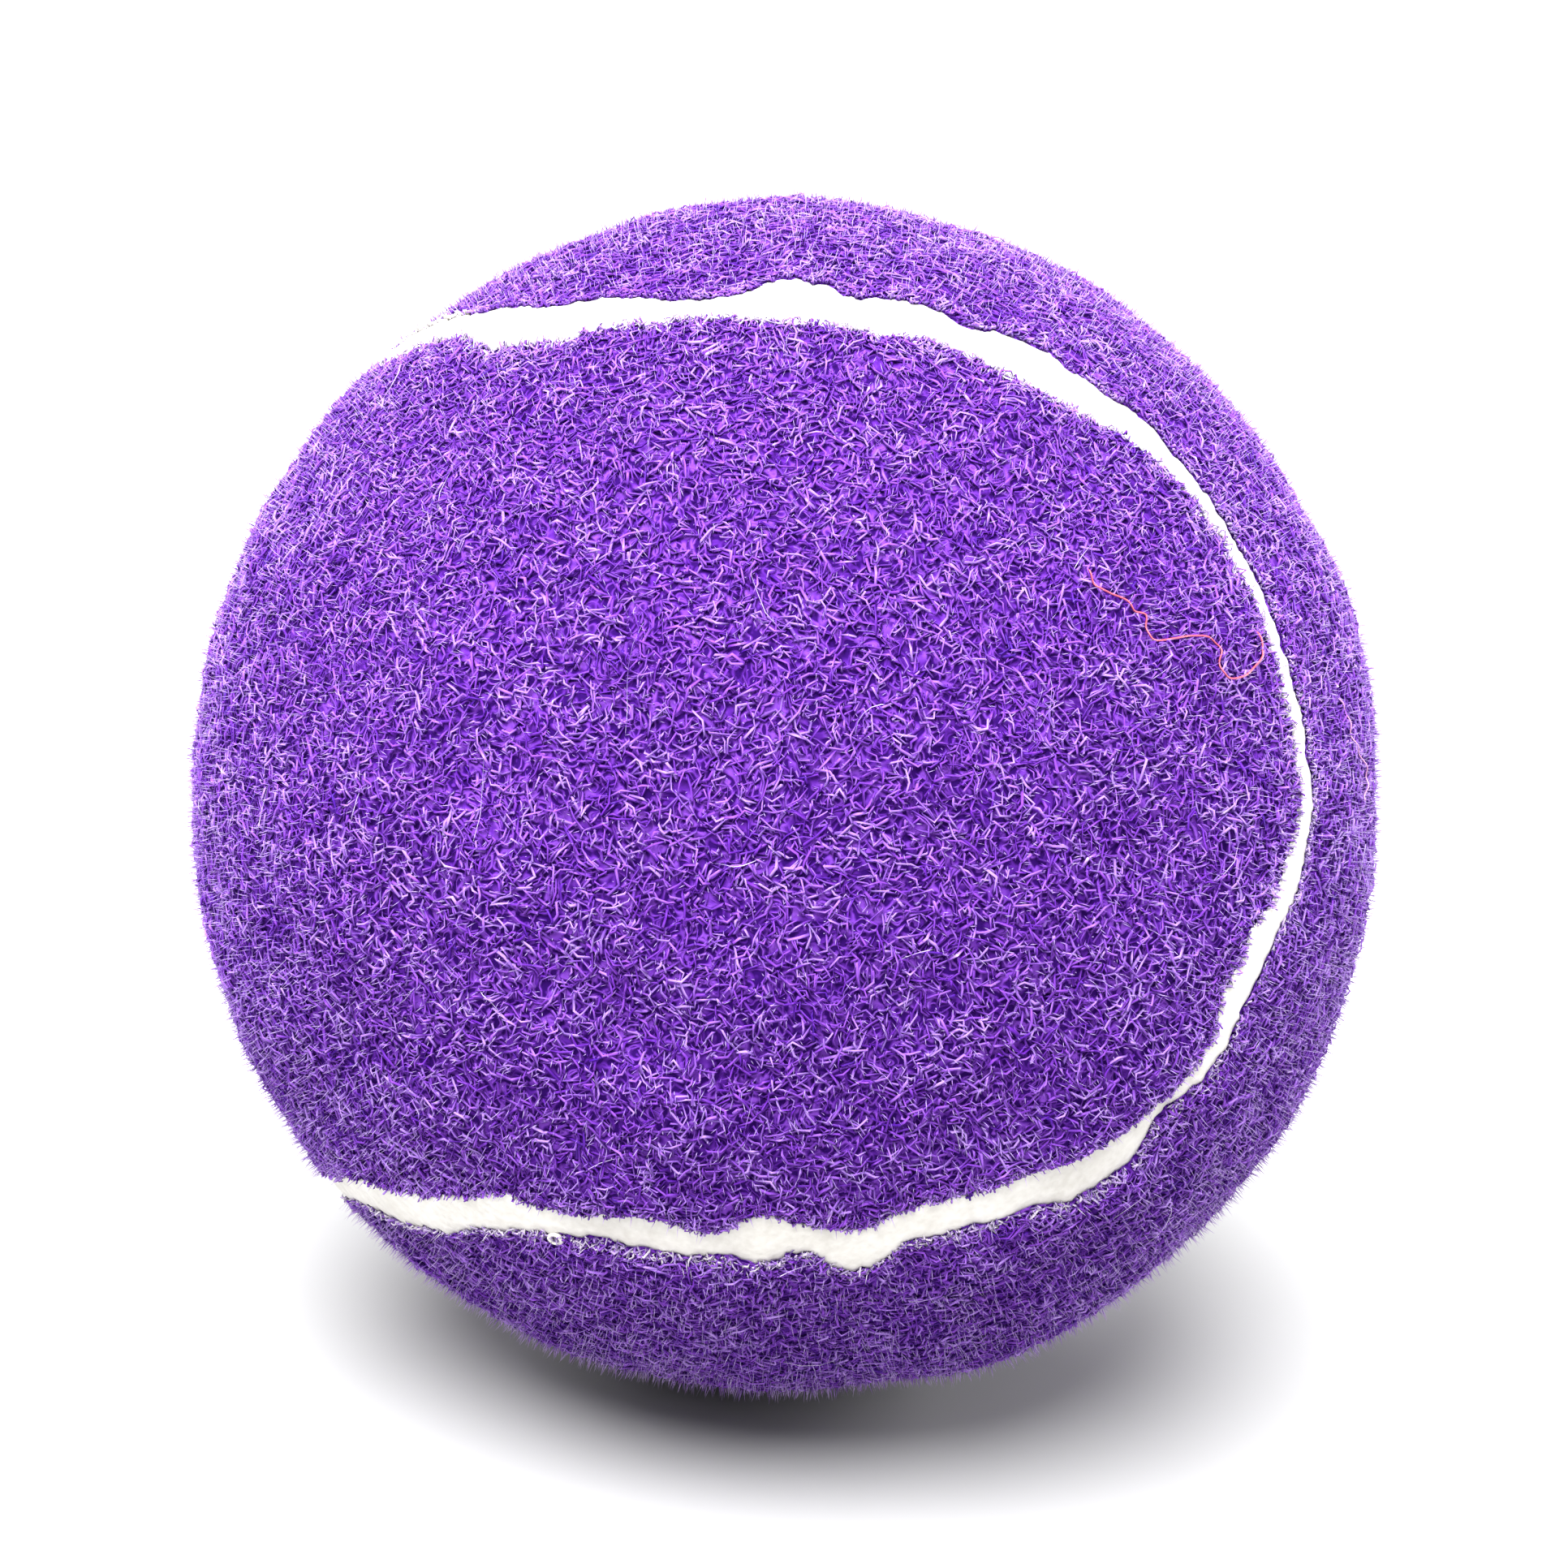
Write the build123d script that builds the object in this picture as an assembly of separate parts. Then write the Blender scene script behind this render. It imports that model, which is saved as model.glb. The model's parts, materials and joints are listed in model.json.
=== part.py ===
# Tennis ball: two dog-bone felt panels cemented to a hollow rubber core, with a rubber seam between.
# Millimetres, +Z up, origin at the centre of the ball. X runs through the middles of the panels' waists.
import os
from math import acos, asin, atan2, cos, degrees, radians, sin, sqrt

from build123d import *

# Ball and felt
ball_diameter = 67.0
felt_thickness = 3.0
felt_shoulder_width = 0.8  # the felt's cut edge rolls over into the seam
felt_shoulder_depth = 1.1

# Cement film behind each felt panel
film_thickness = 0.15

# Rubber core, moulded as two half shells and bonded at their rims
core_wall = 3.5
bond_thickness = 0.2
bond_bead_width = 1.6  # cement squeezed out along the inside of the joint
bond_bead_height = 0.6

# Rubber seam, flush against both felt edges and a little below their surface
seam_width = 1.9
seam_recess = 0.8
seam_crown = 0.15

# Layout of the seam, in degrees seen from the ball's centre
seam_reach_angle = 46.8  # from the middle of a lobe to the seam at its end
seam_arc_angle = 43.4  # radius of the seam's round there
seam_turn_angle = -18.0  # the ball lies turned by this about X

# Cutters reach this far past what they cut
overrun = 1.0

# Radii that follow from them
ball_radius = ball_diameter / 2
felt_inner_radius = ball_radius - felt_thickness
core_radius = felt_inner_radius - film_thickness
core_inner_radius = core_radius - core_wall
seam_half = seam_width / 2
centre = Vector(0, 0, 0)


# The seam is four alike quarters: an arc round the end of a lobe, and part of a great circle,
# tangent to it, that crosses to the next lobe. Each lobe is a quarter turn on and faces the other way.
def on_middle_line(angle):
    return Vector(sin(radians(angle)), -cos(radians(angle)), 0)


def in_quarter(direction, quarter):
    turned = direction.rotate(Axis.X, -90 * quarter)
    return Vector(turned.X * (-1) ** quarter, turned.Y, turned.Z)


def seam_stretches():
    lobe_axis = on_middle_line(seam_reach_angle - seam_arc_angle)
    crossing = Vector(0, -1, 1).normalized()
    off_crossing = lobe_axis - crossing * lobe_axis.dot(crossing)
    lean = asin(sin(radians(seam_arc_angle)) / off_crossing.length)
    along = off_crossing.normalized()
    crossing_axis = along * sin(lean) + along.cross(crossing) * cos(lean)
    meeting = (lobe_axis - crossing_axis * lobe_axis.dot(crossing_axis)).normalized()
    lobe_end = on_middle_line(seam_reach_angle)
    to_end = (lobe_end - lobe_axis * lobe_end.dot(lobe_axis)).normalized()
    arc_half = degrees(atan2(meeting.Z, meeting.dot(to_end)))
    crossing_half = degrees(acos(meeting.dot(crossing)))
    start = Vector(meeting.X, meeting.Y, -meeting.Z)
    for quarter in range(4):
        hand = (-1) ** quarter
        yield in_quarter(lobe_axis, quarter) * hand, in_quarter(start, quarter), 2 * arc_half
        yield in_quarter(crossing_axis, quarter) * hand, in_quarter(meeting, quarter), 2 * crossing_half


# Carries a section round the whole seam; the section's Y points outwards from the ball's centre
def along_seam(section):
    ring = Part()
    for axis, start, arc in seam_stretches():
        ahead = axis.cross(start).normalized()
        plane = Plane(origin=centre, x_dir=start.cross(ahead), z_dir=ahead)
        ring += revolve(plane * section, Axis(centre, axis), arc)
    return ring


# Channel between the felt edges: straight walls that round over at the ball's surface
def channel_section():
    lip = seam_half + felt_shoulder_width
    lip_height = sqrt(ball_radius**2 - lip**2)
    shoulder = ball_radius - felt_shoulder_depth
    bottom = core_radius - overrun
    top = ball_radius + overrun
    outline = [
        Polyline((0, top), (0, bottom), (seam_half, bottom), (seam_half, shoulder)),
        TangentArc((seam_half, shoulder), (lip, lip_height), tangent=(0, 1)),
        Polyline((lip, lip_height), (lip, top), (0, top)),
    ]
    half = make_face(outline)
    return half + mirror(half, about=Plane.YZ)


# Seam: sits on the core, fills the channel and is slightly crowned
def strip_section():
    foot = sqrt(core_radius**2 - seam_half**2)
    edge = ball_radius - seam_recess
    outline = [
        ThreePointArc((-seam_half, foot), (0, core_radius), (seam_half, foot)),
        Line((seam_half, foot), (seam_half, edge)),
        ThreePointArc((seam_half, edge), (0, edge + seam_crown), (-seam_half, edge)),
        Line((-seam_half, edge), (-seam_half, foot)),
    ]
    return make_face(outline)


# A layer round the core, cut by the channel into two panels, the one on -X first
def panels(inner_radius, outer_radius, channel):
    layer = Sphere(outer_radius) - Sphere(inner_radius)
    cut = layer - channel
    return cut.solids().sort_by(Axis.X)


# Half shell of the core: a ring section from the rim to the crown
def core_half():
    rim = bond_thickness / 2
    outline = [
        Line((sqrt(core_inner_radius**2 - rim**2), rim), (sqrt(core_radius**2 - rim**2), rim)),
        CenterArc(
            (0, 0), core_radius, degrees(asin(rim / core_radius)), degrees(acos(rim / core_radius))
        ),
        Line((0, core_radius), (0, core_inner_radius)),
        CenterArc(
            (0, 0), core_inner_radius, 90, -degrees(acos(rim / core_inner_radius))
        ),
    ]
    return revolve(Plane.XZ * make_face(outline), Axis.Z)


# Bond between the rims: a thin flat ring with a bead along its inside
def bond_ring():
    rim = bond_thickness / 2
    spread = bond_bead_width / 2
    outer = sqrt(core_radius**2 - rim**2)
    inner = sqrt(core_inner_radius**2 - rim**2)
    spread_radius = sqrt(core_inner_radius**2 - spread**2)
    outline = [
        ThreePointArc((outer, -rim), (core_radius, 0), (outer, rim)),
        Line((outer, rim), (inner, rim)),
        RadiusArc((inner, rim), (spread_radius, spread), core_inner_radius),
        ThreePointArc(
            (spread_radius, spread), (core_inner_radius - bond_bead_height, 0), (spread_radius, -spread)
        ),
        RadiusArc((spread_radius, -spread), (inner, -rim), core_inner_radius),
        Line((inner, -rim), (outer, -rim)),
    ]
    return revolve(Plane.XZ * make_face(outline), Axis.Z)


# Build every piece, turn what follows the seam, and write one file a node
turn = Rotation(seam_turn_angle, 0, 0)
channel = along_seam(channel_section())
felt_a, felt_b = panels(felt_inner_radius, ball_radius, channel)
film_a, film_b = panels(core_radius, felt_inner_radius, channel)
upper = core_half()
nodes = {
    "core_half_upper": upper,
    "core_half_lower": mirror(upper, about=Plane.XY),
    "core_bond_ring": bond_ring(),
    "cement_film_a": turn * film_a,
    "cement_film_b": turn * film_b,
    "felt_panel_a": turn * felt_a,
    "felt_panel_b": turn * felt_b,
    "seam_strip": turn * along_seam(strip_section()),
}
os.makedirs("parts", exist_ok=True)
for name, solid in nodes.items():
    solid.label = name
    export_step(solid, f"parts/{name}.step")
    print(name, "solids", len(solid.solids()), "volume", round(solid.volume, 2), "valid", solid.is_valid)
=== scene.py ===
import json
import math

import bpy
import numpy as np
from mathutils import Matrix, Vector


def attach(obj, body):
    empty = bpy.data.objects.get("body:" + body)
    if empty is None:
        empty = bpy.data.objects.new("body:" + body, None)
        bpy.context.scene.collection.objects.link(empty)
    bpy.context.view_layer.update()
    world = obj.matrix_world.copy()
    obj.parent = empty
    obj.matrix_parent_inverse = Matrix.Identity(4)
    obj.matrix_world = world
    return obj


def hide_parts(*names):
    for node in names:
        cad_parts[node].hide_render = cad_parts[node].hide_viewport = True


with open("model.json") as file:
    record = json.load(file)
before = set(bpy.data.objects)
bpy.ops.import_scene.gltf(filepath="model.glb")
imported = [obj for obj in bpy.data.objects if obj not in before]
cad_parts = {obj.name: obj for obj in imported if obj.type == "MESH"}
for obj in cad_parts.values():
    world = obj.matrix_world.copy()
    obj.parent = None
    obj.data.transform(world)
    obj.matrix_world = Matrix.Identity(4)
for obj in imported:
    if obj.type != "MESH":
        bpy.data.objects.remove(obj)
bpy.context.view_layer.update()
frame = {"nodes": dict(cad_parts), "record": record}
mm = 0.001
rng = np.random.default_rng(20)

# The ball as the frame has it, and how the felt stands on it
ball = {
    "radius": frame["record"]["mounts"][0]["dims"]["r_mm"] * mm,
    "skinDepth": 0.38 * mm,  # matted skin below the ball's nominal surface, the nap fills the rest
    "seamDepth": 0.28 * mm,  # edges of the seam's top below that surface
    "feltBack": 30.5 * mm,  # radius of the felt's cemented back
    "seamFoot": 30.35 * mm,  # radius of the core under the seam
    "turnAngle": math.radians(-18.0),  # how the ball lies, about X
}
print("tennis ball, radius", ball["radius"])


# Vectors divided by their own lengths
def unit(vectors):
    return vectors / np.linalg.norm(vectors, axis=-1, keepdims=True)


# Seam layout: arcs of a circle round the lobe ends, joined by parts of great circles
seamLayout = {
    "reachAngle": math.radians(46.8),  # middle of a lobe to the seam at its end
    "arcAngle": math.radians(43.4),  # radius of the seam's round there
    "samples": 1280,  # points along the whole seam
    "batch": 20000,  # directions that are compared with the seam at a time
}


# A direction on the front lobe's middle line, at an angle from the lobe's middle towards +X
def onMiddleLine(angle):
    return np.array([math.sin(angle), -math.cos(angle), 0.0])


# Axes, half angles and lengths of the first quarter of the seam: the crossing's great circle holds the
# crossing point and lies at the arc's angle from the lobe's axis, so the two arcs are tangent
def seamQuarter():
    arc = seamLayout["arcAngle"]
    lobeAxis = onMiddleLine(seamLayout["reachAngle"] - arc)
    crossing = unit(np.array([0.0, -1.0, 1.0]))
    offCrossing = lobeAxis - crossing * (lobeAxis @ crossing)
    lean = math.asin(math.sin(arc) / np.linalg.norm(offCrossing))
    along = unit(offCrossing)
    crossAxis = along * math.sin(lean) + np.cross(along, crossing) * math.cos(lean)
    meeting = unit(lobeAxis - crossAxis * (lobeAxis @ crossAxis))
    lobeEnd = onMiddleLine(seamLayout["reachAngle"])
    toEnd = unit(lobeEnd - lobeAxis * (lobeEnd @ lobeAxis))
    aside = np.cross(lobeAxis, toEnd)
    arcHalf = math.atan2(meeting @ aside, meeting @ toEnd)
    crossHalf = math.acos(meeting @ crossing)
    return {
        "lobeAxis": lobeAxis, "toEnd": toEnd, "aside": aside, "arcHalf": arcHalf,
        "meeting": meeting, "onward": np.cross(crossAxis, meeting),
        "lobeLength": 2 * arcHalf * math.sin(arc) * ball["radius"],
        "crossLength": 2 * crossHalf * ball["radius"],
    }


quarter = seamQuarter()
quarterLength = quarter["lobeLength"] + quarter["crossLength"]
seamLength = 4 * quarterLength
cosTurn, sinTurn = math.cos(ball["turnAngle"]), math.sin(ball["turnAngle"])
ballTurn = np.array([[1, 0, 0], [0, cosTurn, -sinTurn], [0, sinTurn, cosTurn]])
quarterStep = np.array([[-1.0, 0, 0], [0, 0, 1], [0, -1, 0]])  # a quarter turn about X, with X reversed
quarterTurns = np.array([ballTurn @ np.linalg.matrix_power(quarterStep, k) for k in range(4)])
sideSign = {"a": 1.0, "b": -1.0}  # sideways from the seam to each panel


# Point, travel and sideways direction of the seam at distances along it from the front lobe's end:
# cosines and sines of the distance over the arc's radius, on the arc or the crossing that it falls on
def seamAt(place):
    arc = seamLayout["arcAngle"]
    walked = np.mod(place + quarter["lobeLength"] / 2, seamLength)
    index = np.minimum((walked / quarterLength).astype(int), 3)
    local = walked - index * quarterLength
    bend = (local / (math.sin(arc) * ball["radius"]) - quarter["arcHalf"])[:, None]
    sweep = ((local - quarter["lobeLength"]) / ball["radius"])[:, None]
    onArc = (local < quarter["lobeLength"])[:, None]
    spot = np.where(
        onArc,
        math.cos(arc) * quarter["lobeAxis"]
        + math.sin(arc) * (np.cos(bend) * quarter["toEnd"] + np.sin(bend) * quarter["aside"]),
        np.cos(sweep) * quarter["meeting"] + np.sin(sweep) * quarter["onward"],
    )
    travel = np.where(
        onArc,
        np.cos(bend) * quarter["aside"] - np.sin(bend) * quarter["toEnd"],
        np.cos(sweep) * quarter["onward"] - np.sin(sweep) * quarter["meeting"],
    )
    spot = np.einsum("nij,nj->ni", quarterTurns[index], spot)
    travel = np.einsum("nij,nj->ni", quarterTurns[index], travel)
    return spot, travel, np.cross(spot, travel)  # the last points to panel a


# Seam edges: how far the cement reaches to each side of its middle line. A swell, in millimetres, is a
# place along the seam from the front lobe's end, half the swell's length, and how far the cement runs
# over the felt there, or falls short of it
seamEdge = {
    "reach": {"a": 1.02 * mm, "b": 1.00 * mm},
    "ripples": ((5.0 * mm, 0.07 * mm), (1.7 * mm, 0.06 * mm), (0.75 * mm, 0.05 * mm)),  # length, height
    "least": -0.15 * mm,  # no edge comes nearer to the middle line
    "waves": 24,  # in the sum for one length of ripple
    "waveShares": (0.6, 1.5),  # numbers of waves round the seam against the asked one, least and most
    "hiddenFrom": 72.0 * mm,  # past this the swells are drawn at random
    "hiddenCount": 20,
    "hiddenHalf": (0.6, 3.2),
    "hiddenHeight": (-0.4, 1.3),
    "swells": {
        "a": (
            (0.3, 3.6, -0.82), (-9.2, 3.1, 1.05), (-16.6, 3.4, -0.42), (-28.6, 4.4, 0.64),
            (-35.6, 1.6, -0.32), (-40.0, 1.6, 0.85), (-43.2, 0.9, -0.25), (-46.8, 2.4, 0.42),
            (-53.8, 1.7, 0.72), (-60.6, 3.0, -0.32), (15.0, 0.9, -0.20), (26.6, 4.2, 0.94),
            (40.0, 4.6, 0.34), (48.8, 3.4, 0.45), (55.0, 3.4, 1.28), (62.0, 2.2, -0.48),
            (-22.0, 40.0, 0.26),
        ),
        "b": (
            (0.2, 3.8, 0.58), (-9.4, 3.2, -1.00), (-17.8, 1.7, -0.65), (-22.8, 2.8, 1.02),
            (-35.5, 1.9, 1.72), (-40.6, 1.4, 0.60), (-44.4, 2.4, 0.25), (-48.9, 0.8, -0.30),
            (-51.4, 0.8, -0.25), (-61.4, 5.0, 1.05), (11.5, 6.0, -0.24), (21.8, 1.6, 0.35),
            (29.0, 2.4, 0.72), (35.2, 2.5, 1.05), (40.9, 2.2, 1.65), (46.2, 1.8, -0.50),
            (51.8, 1.8, 0.33), (58.0, 1.8, 0.60), (65.6, 6.2, 0.95), (-22.0, 42.0, -0.36),
            (9.0, 11.0, -0.48),
        ),
    },
}


# Shortest way along the closed seam, forwards or backwards
def alongSeam(distance):
    return np.mod(distance + seamLength / 2, seamLength) - seamLength / 2


# Sum of the cosines of waves along the closed seam, with whole numbers of waves near the asked length
def seamWaves(place, length, height):
    fewest, most = (int(seamLength / length * share) for share in seamEdge["waveShares"])
    counts = rng.integers(fewest, most + 2, seamEdge["waves"])
    shifts = rng.uniform(0, 2 * math.pi, seamEdge["waves"])
    phases = np.outer(place, counts) * (2 * math.pi / seamLength) + shifts
    return height * np.cos(phases).sum(axis=1) / math.sqrt(seamEdge["waves"] / 2)


# Edge distance: the plain reach, plus waves, plus flat-topped swells, exp of minus the fourth power
def edgeReach(place, side):
    count = seamEdge["hiddenCount"]
    hiddenPlace = rng.uniform(seamEdge["hiddenFrom"], seamLength - seamEdge["hiddenFrom"], count) / mm
    hiddenHalf = rng.uniform(*seamEdge["hiddenHalf"], count)
    hiddenHeight = rng.uniform(*seamEdge["hiddenHeight"], count)
    hidden = np.stack([hiddenPlace, hiddenHalf, hiddenHeight], axis=-1)
    swells = np.concatenate([seamEdge["swells"][side], hidden]) * mm
    away = alongSeam(place[:, None] - swells[:, 0])
    reach = seamEdge["reach"][side] + (swells[:, 2] * np.exp(-((away / swells[:, 1]) ** 4))).sum(axis=1)
    for length, height in seamEdge["ripples"]:
        reach = reach + seamWaves(place, length, height)
    return np.maximum(reach, seamEdge["least"])


# How raggedly fibres lie over the cement's edge, 0 to 1: a sine once round the seam, which is opposite
# for the two panels
def raggedness(place, side):
    return 0.5 + 0.5 * sideSign[side] * np.sin(2 * math.pi * place / seamLength)


seamPlace = np.arange(seamLayout["samples"]) * seamLength / seamLayout["samples"]
seamSpot, _, seamSide = seamAt(seamPlace)
seamReach = {side: edgeReach(seamPlace, side) for side in "ab"}
print("seam laid out,", round(seamLength / mm), "mm round")

# Felt surface: low lumps all over, running out level with the seam along its edge
feltForm = {
    "lumps": ((24.0 * mm, 0.16 * mm), (8.0 * mm, 0.10 * mm)),  # length, height
    "waves": 28,  # in the sum for one size of lump
    "waveShares": (0.6, 1.4),  # how close they are against the asked length, least and most
    "edgeWidth": 1.6 * mm,
    "edgeDrop": 0.04 * mm,  # the felt's edge below the seam's
    "rows": 18,
    "edgeRows": 13,
    "edgeCrowding": 2,  # power that brings these rows closer together towards the edge
    "backStep": 5,  # every so many rows of the face are repeated on the back
}


# Fixed waves through space in random directions, one set for each size of lump
def lumpWaves():
    count = feltForm["waves"]
    sets = []
    for length, height in feltForm["lumps"]:
        ways = unit(rng.normal(size=(count, 3))) * (2 * math.pi / length)
        ways = ways * rng.uniform(*feltForm["waveShares"], (count, 1))
        shifts = rng.uniform(0, 2 * math.pi, count)
        sets.append((ways, shifts, height / math.sqrt(count / 2)))
    return sets


lumpSets = lumpWaves()


# Height of the lumps at points: the sum of the cosines of each wave
def lumps(points):
    return sum(height * np.cos(points @ ways.T + shifts).sum(axis=1) for ways, shifts, height in lumpSets)


# Distance in from the felt's edge, the side of the seam and the nearest sample of it, for directions: the
# nearest sample has the largest dot product, and the sideways dot product gives the distance from it
def edgeDistance(directions):
    inside = np.empty(len(directions))
    onA = np.empty(len(directions), bool)
    nearest = np.empty(len(directions), int)
    for start in range(0, len(directions), seamLayout["batch"]):
        part = slice(start, start + seamLayout["batch"])
        spots = directions[part]
        sample = (spots.astype(np.float32) @ seamSpot.T.astype(np.float32)).argmax(axis=1)
        across = np.einsum("ij,ij->i", spots, seamSide[sample])
        offset = np.arcsin(np.clip(across, -1, 1)) * ball["radius"]
        inside[part] = np.abs(offset) - np.where(offset > 0, seamReach["a"][sample], seamReach["b"][sample])
        onA[part] = offset > 0
        nearest[part] = sample
    return inside, onA, nearest


# Radius of the felt's skin: from the seam's level at its edge up to the lumps by a quarter of an ellipse
def skinRadius(directions, inside):
    share = np.clip(inside / feltForm["edgeWidth"], 0, 1)
    edge = ball["radius"] - ball["seamDepth"] - feltForm["edgeDrop"]
    level = ball["radius"] - ball["skinDepth"] + lumps(directions * ball["radius"])
    return edge + (level - edge) * np.sqrt(1 - (1 - share) ** 2)


# Puts points and lists of faces into a mesh object on the body "root"
def makePiece(name, points, faceSets, material):
    loops = np.concatenate([faces.ravel() for faces in faceSets]).astype(np.int32)
    sizes = np.concatenate([np.full(len(faces), faces.shape[1]) for faces in faceSets])
    starts = (np.cumsum(sizes) - sizes).astype(np.int32)
    mesh = bpy.data.meshes.new(name)
    mesh.vertices.add(len(points))
    mesh.vertices.foreach_set("co", np.ascontiguousarray(points, np.float32).ravel())
    mesh.loops.add(len(loops))
    mesh.loops.foreach_set("vertex_index", loops)
    mesh.polygons.add(len(starts))
    mesh.polygons.foreach_set("loop_start", starts)
    mesh.polygons.foreach_set("use_smooth", np.full(len(starts), True))
    mesh.update(calc_edges=True)
    mesh.materials.append(material)
    piece = bpy.data.objects.new(name, mesh)
    bpy.context.scene.collection.objects.link(piece)
    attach(piece, "root")
    print(name, "faces", len(starts), "triangles", int((sizes - 2).sum()))
    return piece


# Quads between the rows of a grid whose rows are rings, and from its last row to its first if it is closed
def gridQuads(rows, columns, closed=False):
    row, column = np.meshgrid(np.arange(rows if closed else rows - 1), np.arange(columns), indexing="ij")
    below = (row + 1) % rows
    after = (column + 1) % columns
    corners = [(row, column), (row, after), (below, after), (below, column)]
    return np.stack([r * columns + c for r, c in corners], axis=-1).reshape(-1, 4)


# A new material with its node tree and its shader
def newMaterial(name):
    material = bpy.data.materials.new(name)
    material.use_nodes = True
    return material, material.node_tree, material.node_tree.nodes["Principled BSDF"]


# A node with its settings
def addNode(tree, kind, **settings):
    made = tree.nodes.new(kind)
    for key, value in settings.items():
        setattr(made, key, value)
    return made


mottleForm = {
    "inputs": (  # name, kind, and value until a material sets its own
        ("Broad Scale", "NodeSocketFloat", 200.0), ("Fine Scale", "NodeSocketFloat", 2000.0),
        ("Fine Share", "NodeSocketFloat", 0.5),
        ("Dark", "NodeSocketColor", (0, 0, 0, 1)), ("Light", "NodeSocketColor", (1, 1, 1, 1)),
    ),
    "broadDetail": 3.0,
    "fineDetail": 4.0,
    "darkest": 0.34,  # level of the noise that gives the dark colour, and the light one
    "lightest": 0.66,
}


# Mottle: two sizes of noise on the piece's own coordinates, mixed into a colour and a grain height
def mottleGroup():
    group = bpy.data.node_groups.new("mottle", "ShaderNodeTree")
    face = group.interface
    for label, kind, value in mottleForm["inputs"]:
        socket = face.new_socket(name=label, in_out="INPUT", socket_type=kind)
        socket.default_value = value
    face.new_socket(name="Color", in_out="OUTPUT", socket_type="NodeSocketColor")
    face.new_socket(name="Grain", in_out="OUTPUT", socket_type="NodeSocketFloat")
    enter = addNode(group, "NodeGroupInput")
    leave = addNode(group, "NodeGroupOutput")
    place = addNode(group, "ShaderNodeTexCoord")
    broad = addNode(group, "ShaderNodeTexNoise")
    fine = addNode(group, "ShaderNodeTexNoise")
    blend = addNode(group, "ShaderNodeMix")
    contrast = addNode(group, "ShaderNodeMapRange")
    tint = addNode(group, "ShaderNodeMix", data_type="RGBA")
    broad.inputs["Detail"].default_value = mottleForm["broadDetail"]
    fine.inputs["Detail"].default_value = mottleForm["fineDetail"]
    contrast.inputs["From Min"].default_value = mottleForm["darkest"]
    contrast.inputs["From Max"].default_value = mottleForm["lightest"]
    link = group.links.new
    link(place.outputs["Object"], broad.inputs["Vector"])
    link(place.outputs["Object"], fine.inputs["Vector"])
    link(enter.outputs["Broad Scale"], broad.inputs["Scale"])
    link(enter.outputs["Fine Scale"], fine.inputs["Scale"])
    link(enter.outputs["Fine Share"], blend.inputs["Factor"])
    link(broad.outputs["Fac"], blend.inputs["A"])
    link(fine.outputs["Fac"], blend.inputs["B"])
    link(blend.outputs["Result"], contrast.inputs["Value"])
    link(contrast.outputs["Result"], tint.inputs["Factor"])
    link(enter.outputs["Dark"], tint.inputs["A"])
    link(enter.outputs["Light"], tint.inputs["B"])
    link(tint.outputs["Result"], leave.inputs["Color"])
    link(contrast.outputs["Result"], leave.inputs["Grain"])
    return group


mottle = mottleGroup()


# Places the mottle group in a material with its own values
def addMottle(tree, values):
    node = addNode(tree, "ShaderNodeGroup", node_tree=mottle)
    for label, value in values.items():
        node.inputs[label].default_value = value
    return node


# Bump from a height to a shader's normal
def addBump(tree, shader, height, distance, strength):
    bump = addNode(tree, "ShaderNodeBump")
    bump.inputs["Distance"].default_value = distance
    bump.inputs["Strength"].default_value = strength
    tree.links.new(height, bump.inputs["Height"])
    tree.links.new(bump.outputs["Normal"], shader.inputs["Normal"])


# Sets a colour ramp's stops from places and colours
def setRamp(ramp, shades):
    stops = ramp.color_ramp.elements
    while len(stops) < len(shades):
        stops.new(0.5)
    for stop, (place, colour) in zip(stops, shades):
        stop.position = place
        stop.color = (*colour, 1)


skinFinish = {
    "tangles": ((800.0, 40.0), (1100.0, 36.0)),  # scale of a noise, and how densely strands follow it
    "tangleDetail": 0.5,
    "strandFrom": -0.2,  # the sine is above this on a strand
    "pitScale": 700.0,
    "pitFrom": 0.35,  # noise at the bottom of a pit, and at its rim
    "pitTo": 0.55,
    # pitDepth: how far a pit darkens the skin, as painted shade, and sinks its bump
    "pitDepth": 0.60,
    "shades": (  # place on the ramp and colour, from painted shade in gaps and pits to a painted highlight on strand crests
        (0.00, (0.020, 0.002, 0.085)),
        (0.50, (0.072, 0.012, 0.225)),
        (1.00, (0.165, 0.045, 0.390)),
    ),
    "roughness": 0.95,
    "specular": 0.05,
    "bumpDepth": 0.12 * mm,
    "bumpStrength": 0.9,
}
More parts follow.
